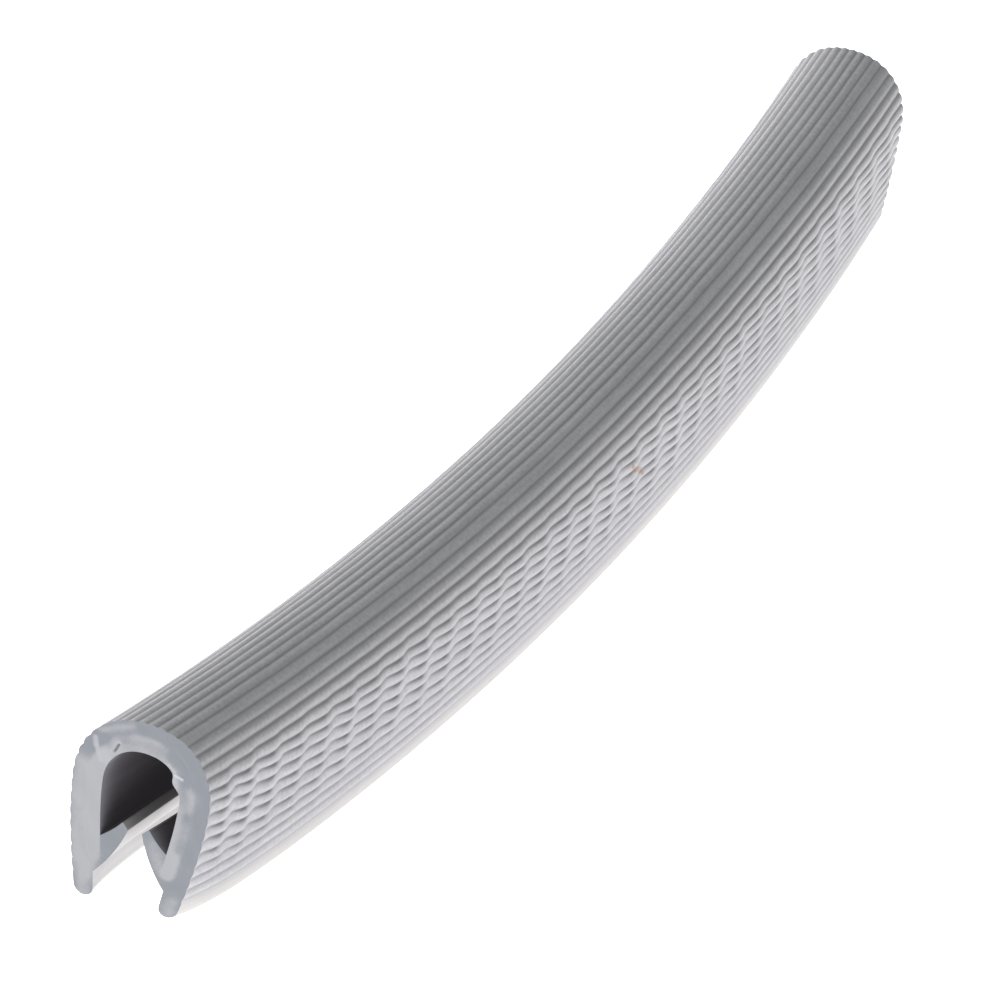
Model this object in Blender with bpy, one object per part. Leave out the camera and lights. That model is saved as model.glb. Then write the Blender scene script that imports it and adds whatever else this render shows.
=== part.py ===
"""A short length of grey PVC edge trim, the push-on seal that covers the edge of a metal or plastic sheet.

The trim is a horseshoe section, open at the bottom, carried along a gentle bend. It has two pieces: the soft sheath,
with its outer skin, leg ends and two grip lips, and the paler carrier band that lines the channel and stiffens it.

The section is drawn in the XZ plane, with X across the trim and Z up from the leg tips. The trim runs along Y.
"""

import math

import bmesh
import bpy
from mathutils import Matrix, Vector

# Driving sizes of the whole length, in metres
WIDTH = 0.0095
HEIGHT = 0.0145
LENGTH = 0.122
BEND_RADIUS = 0.480
BEND_LEAN = math.radians(52.0)

# How far the near cut runs back for each metre to the right and for each metre up
NEAR_CUT_ACROSS = 0.23
NEAR_CUT_UP = -0.094

# Driving sizes of the section, in metres, and the power that squares the crown a little
CROWN_HEIGHT = 0.00525
CROWN_POWER = 2.15
FLANK_RADIUS = 0.100
LEG_TIP_RADIUS = 0.00068
SKIN = 0.00105
BAND_SIDE = 0.00095
BAND_TOP = 0.0012
BAND_FOOT_HEIGHT = 0.0030
LIP_ROOT_LOW = 0.0020
LIP_ROOT_HIGH = 0.0050
LIP_TIP_HEIGHT = 0.0062
LIP_TIP_RADIUS = 0.0003
LIP_BULGE = 0.0003
LIP_GAP = 0.0017
CLEARANCE = 0.0001

# How finely the round stretches are stepped
CROWN_STEPS = 10
FLANK_STEPS = 5
TIP_STEPS = 7
LIP_STEPS = 5
BEND_STEPS = 15

# The flanks are widest where they meet the crown
SHOULDER = HEIGHT - CROWN_HEIGHT
FLANK_CENTRE = (WIDTH / 2.0 - FLANK_RADIUS, SHOULDER)

# Each layer's depth below the outer surface, at the side and at the top
SKIN_DEPTH = (SKIN, SKIN)
BAND_OUTER_DEPTH = (SKIN + CLEARANCE, SKIN + CLEARANCE)
BAND_INNER_DEPTH = (SKIN + CLEARANCE + BAND_SIDE, SKIN + CLEARANCE + BAND_TOP)
OUTER_DEPTH = (0.0, 0.0)

SHEATH_FINISH = {"color": (0.42, 0.43, 0.45, 1.0), "roughness": 0.45}
BAND_FINISH = {"color": (0.60, 0.62, 0.65, 1.0), "roughness": 0.50}


def arc(centre, radius, start, end, steps):
    """Points of an arc from the angle start to the angle end, both in radians from +X towards +Z."""
    angles = [start + (end - start) * i / steps for i in range(steps + 1)]
    return [(centre[0] + radius * math.cos(a), centre[1] + radius * math.sin(a)) for a in angles]


def bulged(start, end, bulge, steps):
    """Points of the shallow arc from start to end that stands off its chord by bulge, to the left of travel."""
    chord = Vector(end) - Vector(start)
    half = chord.length / 2.0
    radius = (half * half + bulge * bulge) / (2.0 * bulge)
    along = chord.normalized()
    left = Vector((-along.y, along.x))
    centre = Vector(start) + along * half - left * (radius - bulge)
    reach = math.asin(half / radius)
    middle = math.atan2(left.y, left.x)
    return arc(centre, radius, middle + reach, middle - reach, steps)


def flank_x(depth, height):
    """Distance from the trim's middle to the flank surface that lies depth below the outer one, at a height."""
    radius = FLANK_RADIUS - depth
    return FLANK_CENTRE[0] + math.sqrt(radius ** 2 - (SHOULDER - height) ** 2)


def crown_quarter(across, up):
    """A quarter of a squared ellipse, |x/across|^n + |z/up|^n = 1 with n the crown's power, from top to side."""
    angles = [math.pi / 2.0 * (1.0 - i / CROWN_STEPS) for i in range(CROWN_STEPS + 1)]
    power = 2.0 / CROWN_POWER
    points = [(across * abs(math.cos(a)) ** power, up * abs(math.sin(a)) ** power) for a in angles]
    points[0] = (0.0, up)
    points[-1] = (across, 0.0)
    return [(x, SHOULDER + z) for x, z in points]


def crown_and_flank(depth, flank_angle):
    """Half of the horseshoe at a depth below the outer surface, from the top middle to an angle down the flank."""
    side, top = depth
    crown = crown_quarter(WIDTH / 2.0 - side, CROWN_HEIGHT - top)
    flank = arc(FLANK_CENTRE, FLANK_RADIUS - side, 0.0, -flank_angle, FLANK_STEPS)
    return crown + flank[1:]


def leg_tip():
    """Centre of the round leg tip, which touches the outer flank and the floor, and its angle down the flank."""
    reach = FLANK_RADIUS - LEG_TIP_RADIUS
    angle = math.asin((SHOULDER - LEG_TIP_RADIUS) / reach)
    return (FLANK_CENTRE[0] + reach * math.cos(angle), LEG_TIP_RADIUS), angle


def band_foot(margin):
    """The round foot of the band, grown by margin: centre, radius and its angle down the flank.

    The foot touches the band's upright inner face and its outer flank, so its own radius solves
    (u + r)^2 + (h - r)^2 = (R - r)^2, with u and h measured from the flank's centre and R the outer flank radius.
    """
    outer = FLANK_RADIUS - BAND_OUTER_DEPTH[0]
    across = flank_x(BAND_INNER_DEPTH[0], LIP_ROOT_HIGH) - FLANK_CENTRE[0]
    down = SHOULDER - BAND_FOOT_HEIGHT
    half_b = across - down + outer
    c = across ** 2 + down ** 2 - outer ** 2
    radius = math.sqrt(half_b ** 2 - c) - half_b
    centre = (FLANK_CENTRE[0] + across + radius, BAND_FOOT_HEIGHT + radius)
    angle = math.asin((down - radius) / (outer - radius))
    return centre, radius + margin, angle


def lip(mouth_x, root_x):
    """The lip from its low root at the mouth, round its tip, to its high root on the band."""
    tip = (LIP_GAP / 2.0 + LIP_TIP_RADIUS, LIP_TIP_HEIGHT - LIP_TIP_RADIUS)
    nose = arc(tip, LIP_TIP_RADIUS, math.radians(190.0), math.radians(45.0), LIP_STEPS)
    underside = bulged((mouth_x, LIP_ROOT_LOW), nose[0], LIP_BULGE, LIP_STEPS)
    return underside[:-1] + nose + [(root_x, LIP_ROOT_HIGH)]


def sheath_half():
    """Right half of the sheath's section: skin, leg tip, lip, and the pocket that holds the band."""
    tip_centre, tip_angle = leg_tip()
    foot_centre, foot_radius, foot_angle = band_foot(CLEARANCE)
    outside = crown_and_flank(OUTER_DEPTH, tip_angle)
    tip = arc(tip_centre, LEG_TIP_RADIUS, -tip_angle, -math.pi, TIP_STEPS)
    mouth_x = tip_centre[0] - LEG_TIP_RADIUS
    root_x = foot_centre[0] - foot_radius
    pocket = arc(foot_centre, foot_radius, -math.pi, -foot_angle, TIP_STEPS)
    inside = crown_and_flank(SKIN_DEPTH, foot_angle)
    return outside[:-1] + tip + lip(mouth_x, root_x) + pocket + inside[-2::-1]


def band_half():
    """Right half of the band's section: outer face, round foot, upright inner face, and the channel's wall."""
    foot_centre, foot_radius, foot_angle = band_foot(0.0)
    outside = crown_and_flank(BAND_OUTER_DEPTH, foot_angle)
    foot = arc(foot_centre, foot_radius, -foot_angle, -math.pi, TIP_STEPS)
    wall_angle = math.asin((SHOULDER - LIP_ROOT_HIGH) / (FLANK_RADIUS - BAND_INNER_DEPTH[0]))
    inside = crown_and_flank(BAND_INNER_DEPTH, wall_angle)
    return outside[:-1] + foot + inside[::-1]


def mirrored(half):
    """A closed outline from its right half, whose first and last points lie on the trim's middle plane."""
    return half + [(-x, z) for x, z in half[-2:0:-1]]


def swept(name, outline, finish, collection, parent):
    """A solid made by spinning the outline about the bend's axis, half the bend angle to each side of mid-length.

    The near cut isn't square: its corners are then slid along the trim, in proportion to their place across and up.
    """
    mesh = bmesh.new()
    corners = [mesh.verts.new((x, 0.0, z)) for x, z in outline]
    face = mesh.faces.new(corners)
    middle = Vector((0.0, 0.0, HEIGHT / 2.0))
    centre = middle + Vector((-math.sin(BEND_LEAN), 0.0, math.cos(BEND_LEAN))) * BEND_RADIUS
    axis = Vector((math.cos(BEND_LEAN), 0.0, math.sin(BEND_LEAN)))
    bend = LENGTH / BEND_RADIUS
    to_near_end = Matrix.Rotation(-bend / 2.0, 3, axis)
    bmesh.ops.rotate(mesh, verts=corners, cent=centre, matrix=to_near_end)
    bmesh.ops.spin(mesh, geom=[face], cent=centre, axis=axis, angle=bend, steps=BEND_STEPS)
    along = to_near_end @ Vector((0.0, 1.0, 0.0))
    for corner, (x, z) in zip(corners, outline):
        corner.co += along * (NEAR_CUT_ACROSS * x + NEAR_CUT_UP * (z - HEIGHT / 2.0))
    bmesh.ops.recalc_face_normals(mesh, faces=mesh.faces)
    data = bpy.data.meshes.new(name)
    mesh.to_mesh(data)
    mesh.free()
    data.shade_smooth()
    data.set_sharp_from_angle(angle=math.radians(40.0))
    data.materials.append(plastic(name, finish))
    solid = bpy.data.objects.new(name, data)
    collection.objects.link(solid)
    solid.parent = parent
    return solid


def plastic(name, finish):
    """A Principled material with one colour and roughness."""
    material = bpy.data.materials.new(name)
    material.use_nodes = True
    shader = material.node_tree.nodes["Principled BSDF"]
    shader.inputs["Base Color"].default_value = finish["color"]
    shader.inputs["Roughness"].default_value = finish["roughness"]
    shader.inputs["Metallic"].default_value = 0.0
    return material


def stand_on_floor(parent, solids):
    """Moves the parent so that the base of the solids' common box is centred on the origin."""
    points = [vertex.co for solid in solids for vertex in solid.data.vertices]
    low = Vector([min(p[i] for p in points) for i in range(3)])
    high = Vector([max(p[i] for p in points) for i in range(3)])
    parent.location = (-(low.x + high.x) / 2.0, -(low.y + high.y) / 2.0, -low.z)


def main():
    """Builds the trim in an empty scene."""
    for old in list(bpy.data.objects):
        bpy.data.objects.remove(old, do_unlink=True)
    collection = bpy.data.collections.new("edge_trim")
    bpy.context.scene.collection.children.link(collection)
    trim = bpy.data.objects.new("edge_trim", None)
    collection.objects.link(trim)
    sheath = swept("pvc_sheath", mirrored(sheath_half()), SHEATH_FINISH, collection, trim)
    band = swept("carrier_band", mirrored(band_half()), BAND_FINISH, collection, trim)
    stand_on_floor(trim, [sheath, band])


main()
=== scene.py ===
"""Scene for a short, bent length of grey ribbed edge trim, seen from above and in front of its near cut.

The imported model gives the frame. Two finished pieces stand for its two nodes: the ribbed sheath and the
paler carrier band inside it. Both are one section outline carried along the same arc, in numpy arrays.
"""

import logging
import math
from collections.abc import Callable
from dataclasses import dataclass, field
from enum import Enum

import bpy
import numpy as np
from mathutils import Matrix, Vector
from mathutils.geometry import delaunay_2d_cdt

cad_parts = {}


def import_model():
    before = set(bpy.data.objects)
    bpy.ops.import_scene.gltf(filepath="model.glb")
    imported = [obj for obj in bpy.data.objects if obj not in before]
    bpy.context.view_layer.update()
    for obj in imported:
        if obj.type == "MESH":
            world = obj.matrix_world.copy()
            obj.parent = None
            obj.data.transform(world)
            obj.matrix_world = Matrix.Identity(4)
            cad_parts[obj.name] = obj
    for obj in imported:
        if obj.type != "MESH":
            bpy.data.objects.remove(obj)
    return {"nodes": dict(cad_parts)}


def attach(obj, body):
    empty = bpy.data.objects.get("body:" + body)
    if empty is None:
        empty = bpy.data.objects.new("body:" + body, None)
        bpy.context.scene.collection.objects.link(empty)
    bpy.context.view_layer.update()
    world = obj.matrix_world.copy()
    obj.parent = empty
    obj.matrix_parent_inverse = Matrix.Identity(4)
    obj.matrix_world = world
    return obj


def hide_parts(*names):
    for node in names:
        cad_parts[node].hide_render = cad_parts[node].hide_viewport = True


LOG = logging.getLogger("edge_trim")

MM = 0.001
MIRROR = np.array([-1.0, 1.0])

Array = np.ndarray
Pair = tuple[float, float]
Colour = tuple[float, float, float, float]

# Values that all the shaders share
PLASTIC = {"Metallic": 0.0, "IOR": 1.5}

# Where a stroke's colour starts to fade and is gone, as parts of its width
STROKE_EDGE = (0.3, 1.7)


class End(Enum):
    """Which end of the trim a cut face closes."""

    NEAR = 0
    FAR = 1


class Surface(Enum):
    """The surfaces of a piece, in the order of its material slots."""

    OUTSIDE = 0
    INSIDE = 1
    SHADED = 2
    NEAR_CUT = 3
    FAR_CUT = 4


@dataclass(frozen=True)
class Bend:
    """The arc that the trim follows, and the slant of its near cut.

    Attributes:
        radius: radius of the arc, in metres.
        lean: angle of the bend's plane from upright, towards -X, in radians.
        length: length of the trim along the arc, in metres.
        height: height of the section, in metres.
        across: how far the near cut runs back for each metre to the right.
        up: how far the near cut runs back for each metre up.
        fade: length over which the slant dies out, in metres.
        centring: the shift that puts the trim's box over the origin, in metres.
    """

    radius: float = 0.480
    lean: float = math.radians(52.0)
    length: float = 0.122
    height: float = 0.0145
    across: float = 0.23
    up: float = -0.094
    fade: float = 0.122 / 15.0
    centring: tuple[float, float, float] = (0.00158, -0.00016, -0.000021)

    def along(self, x: Array, z: Array, s: Array) -> Array:
        """Distances s, slanted beside the near cut: s + (across x + up (z - height / 2)) (1 - s / fade)."""
        slant = self.across * x + self.up * (z - self.height / 2.0)
        return s + slant * np.clip(1.0 - s / self.fade, 0.0, 1.0)

    def place(self, x: Array, z: Array, s: Array) -> Array:
        """Puts section points on the arc.

        Formula: a point turns about the bend's leaning axis by s / radius less half the whole bend. With h
        its height above the section's middle, it is radius + x sin(lean) - h cos(lean) away from that axis
        and x cos(lean) + h sin(lean) along it.

        Args:
            x: distances across the section.
            z: heights in the section.
            s: distances along the arc from the near end.

        Returns:
            An array of points with a last axis of three.
        """
        sine, cosine = math.sin(self.lean), math.cos(self.lean)
        h = z - self.height / 2.0
        angle = (s - self.length / 2.0) / self.radius
        axial = cosine * x + sine * h
        reach = self.radius + sine * x - cosine * h
        px = cosine * axial + sine * reach * np.cos(angle) - sine * self.radius
        py = reach * np.sin(angle)
        pz = sine * axial - cosine * reach * np.cos(angle) + cosine * self.radius + self.height / 2.0
        return np.stack([px, py, pz], axis=-1) + np.array(self.centring)


def arc(centre: Pair, radius: float, start: float, end: float, steps: int) -> Array:
    """Points of an arc: centre + radius (cos a, sin a), with a in even steps from start to end."""
    a = np.linspace(start, end, steps + 1)
    return np.stack([centre[0] + radius * np.cos(a), centre[1] + radius * np.sin(a)], axis=-1)


def bulged(start: Array, end: Array, bulge: float, steps: int) -> Array:
    """A shallow bow from start to end: the chord plus bulge times 4 t (1 - t) to the left of travel.

    Args:
        start: first point.
        end: last point.
        bulge: height of the bow over its chord, in metres.
        steps: number of steps.

    Returns:
        An array of steps + 1 points.
    """
    t = np.linspace(0.0, 1.0, steps + 1)[:, None]
    chord = end - start
    left = np.array([-chord[1], chord[0]]) / np.hypot(*chord)
    return start + chord * t + left * bulge * 4.0 * t * (1.0 - t)


@dataclass(frozen=True)
class Section:
    """The trim's section, drawn with X across and Z up from the leg tips. Sizes are in metres.

    Attributes:
        width: overall width.
        height: overall height.
        crown_height: height of the round crown above the widest place.
        crown_power: power of the squared ellipse that the crown follows.
        flank_radius: radius of the flanks' slight inward curve.
        tip_radius: radius of the leg tips.
        skin: thickness of the outer skin, up to the middle of the joint with the band.
        band_side: thickness of the band at the flanks.
        band_top: thickness of the band at the crown.
        foot_height: height of the band's foot.
        lip_low: height at which a lip leaves the leg.
        lip_high: height at which a lip's upper side meets the band.
        lip_tip: height of the lower corner of a lip's blunt tip.
        lip_blunt: length of the blunt tip's flat face.
        lip_blunt_turn: direction of that face from +X, in radians.
        lip_corner: radius of its two corners.
        lip_turns: directions in which the lower corner starts and the upper one ends, in radians.
        lip_bulge: how far a lip's lower side bows out.
        lip_hollow: how far its upper side bows in.
        lip_gap: gap between the lips' tips.
    """

    width: float = 0.0095
    height: float = 0.0145
    crown_height: float = 0.00525
    crown_power: float = 2.15
    flank_radius: float = 0.100
    tip_radius: float = 0.00068
    skin: float = 0.0011
    band_side: float = 0.0010
    band_top: float = 0.00125
    foot_height: float = 0.00295
    lip_low: float = 0.0020
    lip_high: float = 0.0049
    lip_tip: float = 0.0059
    lip_blunt: float = 0.00048
    lip_blunt_turn: float = math.radians(54.0)
    lip_corner: float = 0.00009
    lip_turns: Pair = (math.radians(205.0), math.radians(40.0))
    lip_bulge: float = 0.00022
    lip_hollow: float = 0.00008
    lip_gap: float = 0.00132

    @property
    def shoulder(self) -> float:
        """Height at which the flanks are widest."""
        return self.height - self.crown_height

    @property
    def flank_centre(self) -> Pair:
        """Centre of the right flank's curve."""
        return (self.width / 2.0 - self.flank_radius, self.shoulder)

    def layer(self, side: float, top: float, angle: float, crown_steps: int, flank_steps: int) -> Array:
        """Right half of the horseshoe at a depth below the surface, from the crown's middle down the flank.

        Formula: the crown is |x / a|^n + |z / b|^n = 1 over the shoulder, and the flank is an arc.

        Args:
            side: depth at the sides.
            top: depth at the crown.
            angle: how far the flank's arc runs down, in radians.
            crown_steps: number of steps on the crown.
            flank_steps: number of steps on the flank.

        Returns:
            An array of points.
        """
        a = np.linspace(math.pi / 2.0, 0.0, crown_steps + 1)
        power = 2.0 / self.crown_power
        across = (self.width / 2.0 - side) * np.clip(np.cos(a), 0.0, 1.0) ** power
        up = (self.crown_height - top) * np.clip(np.sin(a), 0.0, 1.0) ** power
        across[0] = 0.0
        up[-1] = 0.0
        crown = np.stack([across, self.shoulder + up], axis=-1)
        flank = arc(self.flank_centre, self.flank_radius - side, 0.0, -angle, flank_steps)
        return np.concatenate([crown, flank[1:]])

    def leg_tip(self) -> tuple[Pair, float]:
        """Centre of the round leg tip, and its angle down the flank, where it touches flank and floor."""
        reach = self.flank_radius - self.tip_radius
        angle = math.asin((self.shoulder - self.tip_radius) / reach)
        return (self.flank_centre[0] + reach * math.cos(angle), self.tip_radius), angle

    def foot(self) -> tuple[Pair, float, float]:
        """The band's round foot, which touches its outer flank and its upright inner face.

        Formula: (u + r)^2 + (h - r)^2 = (R - r)^2, with u and h measured from the flank's centre.

        Returns:
            Its centre, its radius and its angle down the flank.
        """
        outer = self.flank_radius - self.skin
        inner = outer - self.band_side
        across = math.sqrt(inner**2 - (self.shoulder - self.lip_high) ** 2)
        down = self.shoulder - self.foot_height
        half_b = across - down + outer
        radius = math.sqrt(half_b**2 - across**2 - down**2 + outer**2) - half_b
        centre = (self.flank_centre[0] + across + radius, self.foot_height + radius)
        return centre, radius, math.asin((down - radius) / (outer - radius))

    def outer(self) -> Array:
        """Right half of the outer surface, finely stepped, from the crown's middle round the leg tip."""
        centre, angle = self.leg_tip()
        half = self.layer(0.0, 0.0, angle, crown_steps=400, flank_steps=200)
        tip = arc(centre, self.tip_radius, -angle, -math.pi, steps=90)
        return np.concatenate([half, tip[1:]])

    def lip(self) -> tuple[Array, Array]:
        """The right lip from the leg's inner side, round its blunt tip, to its upper root on the band.

        Returns:
            The points, and the surface of the stretch after each one.
        """
        centre, _ = self.leg_tip()
        low = np.array([centre[0] - self.tip_radius, self.lip_low])
        turn, r = self.lip_blunt_turn, self.lip_corner
        corner = (self.lip_gap / 2.0 + r, self.lip_tip)
        upper = (corner[0] + self.lip_blunt * math.cos(turn), corner[1] + self.lip_blunt * math.sin(turn))
        facing = turn + math.pi / 2.0
        first, last = self.lip_turns
        rounds = arc(corner, r, first, facing, steps=3), arc(upper, r, facing, last, steps=4)
        nose = np.concatenate(rounds)
        under = bulged(low, nose[0], self.lip_bulge, steps=9)
        foot_centre, foot_radius, _ = self.foot()
        high = np.array([foot_centre[0] - foot_radius, self.lip_high])
        over = bulged(nose[-1], high, -self.lip_hollow, steps=6)
        points = np.concatenate([under[:-1], nose, over[1:]])
        surface = np.full(len(points), Surface.INSIDE.value)
        # the lips' upper sides take the channel lining's painted shade
        surface[-len(over) :] = Surface.SHADED.value
        return points, surface

    def joint(self) -> Array:
        """Right half of the joint between sheath and band, from the foot's inner side up to the crown."""
        centre, radius, angle = self.foot()
        foot = arc(centre, radius, -math.pi, -angle, steps=8)
        side = self.layer(self.skin, self.skin, angle, crown_steps=12, flank_steps=4)
        return np.concatenate([foot, side[-2::-1]])

    def channel(self) -> Array:
        """Right half of the channel's wall, from the crown's middle down to the lip's upper root."""
        side = self.skin + self.band_side
        angle = math.asin((self.shoulder - self.lip_high) / (self.flank_radius - side))
        return self.layer(side, self.skin + self.band_top, angle, crown_steps=22, flank_steps=8)


@dataclass(frozen=True)
class Ribs:
    """The fine ribs along the outside: where their grooves lie, and how deep they are.

    Attributes:
        right: grooves to the right of the crown's middle, in mm along the outer surface.
        left: grooves to its left, in mm.
        depth: depth of a groove, in metres.
        sharpness: power that narrows the grooves, on the crown and on the flanks.
        steps: where the points of one rib lie between two grooves, as parts of the pitch.
        crown: share of the depth that is left on the crown.
        crown_to: where along the outer surface that share ends and the full depth starts, in mm.
        low: share of the depth that is left at the lowest groove.
        low_from: where the full depth ends and that share starts, in mm.
        wander: how far the ribs stray sideways, in mm.
        slow: the slow wave's length in mm for a radian, its turn for each mm around, and its share.
        quick: the quick wave's length, the size and rate of its turn around, and its share.
    """

    right: tuple[float, ...] = (
        *(0.45, 1.16, 1.96, 2.86, 3.71, 4.62, 5.58, 6.57, 7.51),
        *(8.51, 9.61, 10.6, 11.71, 12.72, 13.66, 14.6, 15.5),
    )
    left: tuple[float, ...] = (
        *(0.21, 0.88, 1.56, 2.27, 3.03, 3.86, 4.76, 5.7, 6.68),
        *(7.66, 8.65, 9.64, 10.63, 11.63, 12.63, 13.62, 14.6, 15.5),
    )
    depth: float = 0.00016
    sharpness: Pair = (0.9, 1.3)
    steps: tuple[float, ...] = (0.0, 0.1, 0.23, 0.41, 0.59, 0.77, 0.9)
    crown: float = 0.62
    crown_to: Pair = (3.4, 6.2)
    low: float = 0.5
    low_from: Pair = (11.0, 14.5)
    wander: float = 0.018
    slow: tuple[float, float, float] = (2.9, 1.1, 0.6)
    quick: tuple[float, float, float, float] = (1.07, 2.3, 0.9, 0.4)

    def fullness(self, u: Array) -> Array:
        """Share of the full depth at u mm along the surface: crown, then 1, then low, with straight ramps."""
        places = (*self.crown_to, *self.low_from)
        return np.interp(np.abs(u), places, (self.crown, 1.0, 1.0, self.low))

    def strayed(self, s: Array, u: Array) -> Array:
        """How far the ribs stray sideways.

        Formula: wander times the sum of two sine waves along the trim, out of step from rib to rib.

        Args:
            s: distances from the near end, in metres.
            u: positions along the outer surface, in metres.

        Returns:
            The sideways displacement, in metres.
        """
        along, around = s / MM, u / MM
        length, turn, share = self.slow
        slow = share * np.sin(along / length + turn * around)
        length, turn, rate, share = self.quick
        return self.wander * MM * (slow + share * np.sin(along / length + turn * np.sin(rate * around)))

    def points(self) -> tuple[Array, Array]:
        """Places the outline's points across every rib.

        Formula: a groove's depth is (1 - |sin(pi t)|)^sharpness, with t from 0 to 1 between two grooves.

        Returns:
            Positions along the outer surface in metres, from left to right, and their shares of the depth.
        """
        grooves = np.concatenate([-np.array(self.left)[::-1], np.array(self.right)]) * MM
        t = np.array(self.steps)
        u = grooves[:-1, None] + np.diff(grooves)[:, None] * t
        power = np.interp(np.abs(u) / MM, self.crown_to, self.sharpness)
        share = (1.0 - np.abs(np.sin(math.pi * t))) ** power
        u = np.append(u.ravel(), grooves[-1])
        return u, np.append(share.ravel(), 1.0) * self.fullness(u / MM)


@dataclass(frozen=True)
class Fingers:
    """The edges of the buried clip's fingers, which push the flanks' ribs into overlapping scales.

    Attributes:
        first: the first edge's distance from the near end, in mm.
        pitch: distance between two edges there, in mm.
        growth: how much the distance grows from one edge to the next, in mm.
        sway: sideways step of the ribs at an edge, in mm.
        lift: outward step of the surface at an edge, in mm.
        reach: where along the outer surface the sideways steps start, are full, start to fade and end, in mm.
        lift_reach: the same for the outward steps, in mm.
        tilt: how far an edge runs on along the trim for each mm down the flank, at the near end.
        far_tilt: how much more it does 100 mm from that end.
        level: where along the outer surface the edges' distances are taken, in mm.
        tilt_span: how far from that level an edge goes on tilting, in mm.
        stagger: how far an edge's place along the trim differs from rib to rib, in mm.
        stagger_rate: how quickly that changes down the flank, in radians for each mm.
        ramp: part of a finger over which the ribs drift back.
        roundness: how round the drift is, from 0, straight, to 1, half a cosine wave.
        shallow: how much shallower a groove is where the drift starts.
        deepening: how much it deepens along the drift.
        dip: how much shallower it is halfway through the spring back.
        shares: the least and the greatest strength of a finger.
        seed: seed of the fingers' strengths.
        count: number of fingers that are drawn.
        clear: least distance between a ring of points and a cut, in metres.
    """

    first: float = 3.75
    pitch: float = 3.43
    growth: float = 0.033
    sway: float = 0.40
    lift: float = 0.025
    reach: tuple[float, float, float, float] = (4.4, 8.2, 10.6, 15.2)
    lift_reach: tuple[float, float, float, float] = (3.4, 6.0, 8.5, 12.0)
    tilt: float = 0.08
    far_tilt: float = 0.30
    level: float = 9.6
    tilt_span: float = 5.0
    stagger: float = 0.2
    stagger_rate: float = 2.6
    ramp: float = 0.7
    roundness: float = 0.75
    shallow: float = 0.35
    deepening: float = 0.65
    dip: float = 0.6
    shares: Pair = (0.65, 1.2)
    seed: int = 7
    count: int = 64
    clear: float = 0.00015

    def edge(self, k: Array) -> Array:
        """Distance in mm of the edge number k: first + pitch k + growth k (k - 1) / 2."""
        return self.first + self.pitch * k + self.growth * k * (k - 1.0) / 2.0

    def phase(self, s: Array) -> tuple[Array, Array]:
        """Finds the finger at a distance from the near end.

        Formula: the inverse of the edges' formula, rounded down for the finger, and the rest as a part of it.

        Args:
            s: distances from the near end, in mm.

        Returns:
            The finger's number, from -1 on, and the part of the finger, from 0 to 1.
        """
        b = self.pitch - self.growth / 2.0
        k = (np.sqrt(b**2 + 2.0 * self.growth * (s - self.first)) - b) / self.growth
        number = np.floor(k)
        low, high = self.edge(number), self.edge(number + 1.0)
        return number.astype(int), (s - low) / (high - low)

    def strength(self, u: Array, reach: tuple[float, float, float, float]) -> Array:
        """How strong the steps are along the outer surface: two smooth ramps, up to 1 and back to 0."""
        start, full, fade, end = reach
        up = np.clip((np.abs(u) - start) / (full - start), 0.0, 1.0)
        down = np.clip((end - np.abs(u)) / (end - fade), 0.0, 1.0)
        return (up * up * (3.0 - 2.0 * up)) * (down * down * (3.0 - 2.0 * down))

    def steps(self, s: Array, u: Array) -> tuple[Array, Array, Array]:
        """The ribs' sideways and outward displacement, and how deep their grooves stay.

        Formula: a rounded saw tooth that drifts from -1/2 to +1/2 over the ramp and springs back over the
        rest, times the strength and a seeded share for each finger. The drift is a mean of a straight line
        and half a cosine wave, weighted by roundness, and the spring back is half a cosine wave. An edge's
        line down the flank has a small sine wave on it. A groove is shallow as the drift starts, deepens
        along it and loses that in the spring back, where it has a dip of half a sine wave, all times the
        strength.

        Args:
            s: distances from the near end, in metres, one row for each ring.
            u: positions along the outer surface, in metres.

        Returns:
            The displacement down the flank and the outward displacement, in metres, and the grooves' share.
        """
        tilt = self.tilt + self.far_tilt * (s / (100.0 * MM)) ** 2
        slant = tilt * np.clip(np.abs(u) / MM - self.level, -self.tilt_span, self.tilt_span)
        slant = slant + self.stagger * np.sin(self.stagger_rate * np.abs(u) / MM)
        number, part = self.phase(np.clip(s / MM - slant, 0.0, None))
        climb = np.minimum(part / self.ramp, 1.0)
        spring = np.clip((part - self.ramp) / (1.0 - self.ramp), 0.0, 1.0)
        rise = climb + self.roundness * (0.5 - 0.5 * np.cos(math.pi * climb) - climb)
        drift = rise - (0.5 - 0.5 * np.cos(math.pi * spring)) - 0.5
        shares = np.random.default_rng(self.seed).uniform(*self.shares, self.count)[number + 1]
        sideways = self.strength(u / MM, self.reach) * shares
        outward = self.strength(u / MM, self.lift_reach) * shares
        dip = self.dip * np.sin(math.pi * spring)
        depth = self.deepening * climb - self.shallow - self.deepening * spring - dip
        kept = np.clip(1.0 + depth * sideways, 0.0, None)
        return np.sign(u) * drift * sideways * self.sway * MM, drift * outward * self.lift * MM, kept

    def stations(self, length: float, parts: Array) -> Array:
        """Distances of the rings of points, gathered at each finger's edge.

        Args:
            length: length of the trim, in metres.
            parts: the rings' places within a finger.

        Returns:
            Rising distances from 0 to length, in metres.
        """
        k = np.arange(-2.0, self.count)
        low = self.edge(k)[:, None]
        s = (low + (self.edge(k + 1.0)[:, None] - low) * parts).ravel() * MM
        inner = s[(s > self.clear) & (s < length - self.clear)]
        return np.concatenate([[0.0], inner, [length]])


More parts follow.
